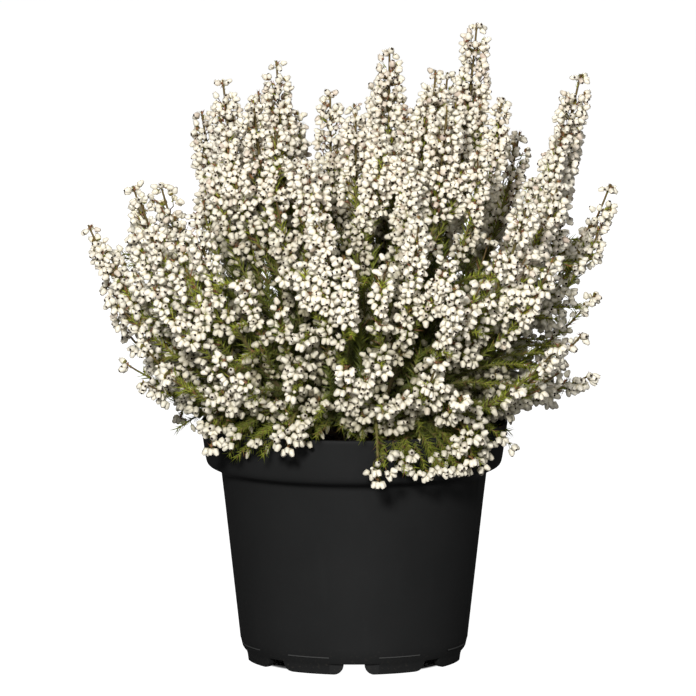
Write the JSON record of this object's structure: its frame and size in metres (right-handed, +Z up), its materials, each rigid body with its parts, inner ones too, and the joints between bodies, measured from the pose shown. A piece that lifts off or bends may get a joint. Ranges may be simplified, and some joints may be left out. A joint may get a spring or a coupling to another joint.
{
  "type": "potted cape heath",
  "caption": "Cape heath with dense upright spikes of small white bell flowers and green needle leaves, rooted in peat in a tapered black plastic nursery pot with a notched foot.",
  "frame": {"origin": "centre of the pot's foot, on the surface that it stands on", "axes": "+Z up along the pot's axis, -Y the pictured front, +X the picture's right"},
  "size_m": [0.2237, 0.2095, 0.269],
  "materials": {
    "pot_plastic": "satin",
    "peat": "matte",
    "leafy_stems": "matte",
    "white_bells": "matte"
  },
  "bodies": {
    "root": {"pot": "pot_plastic", "peat": "peat", "branch_1": "leafy_stems", "branch_2": "leafy_stems", "branch_3": "leafy_stems", "branch_4": "leafy_stems", "branch_5": "leafy_stems", "branch_6": "leafy_stems", "branch_7": "leafy_stems", "branch_8": "leafy_stems", "blooms_01": "white_bells", "blooms_02": "white_bells", "blooms_03": "white_bells", "blooms_04": "white_bells", "blooms_05": "white_bells", "blooms_06": "white_bells", "blooms_07": "white_bells", "blooms_08": "white_bells", "blooms_09": "white_bells", "blooms_10": "white_bells", "blooms_11": "white_bells", "blooms_12": "white_bells", "blooms_13": "white_bells", "blooms_14": "white_bells", "blooms_15": "white_bells", "blooms_16": "white_bells", "blooms_17": "white_bells", "blooms_18": "white_bells", "blooms_19": "white_bells", "blooms_20": "white_bells", "blooms_21": "white_bells", "blooms_22": "white_bells", "blooms_23": "white_bells", "blooms_24": "white_bells", "blooms_25": "white_bells", "blooms_26": "white_bells", "blooms_27": "white_bells", "blooms_28": "white_bells", "blooms_29": "white_bells", "blooms_30": "white_bells", "blooms_31": "white_bells", "blooms_32": "white_bells", "blooms_33": "white_bells", "blooms_34": "white_bells", "blooms_35": "white_bells", "blooms_36": "white_bells", "blooms_37": "white_bells", "blooms_38": "white_bells", "blooms_39": "white_bells", "blooms_40": "white_bells", "blooms_41": "white_bells", "blooms_42": "white_bells", "blooms_43": "white_bells", "blooms_44": "white_bells", "blooms_45": "white_bells", "blooms_46": "white_bells", "blooms_47": "white_bells", "blooms_48": "white_bells", "blooms_49": "white_bells"}
  },
  "joints": []
}
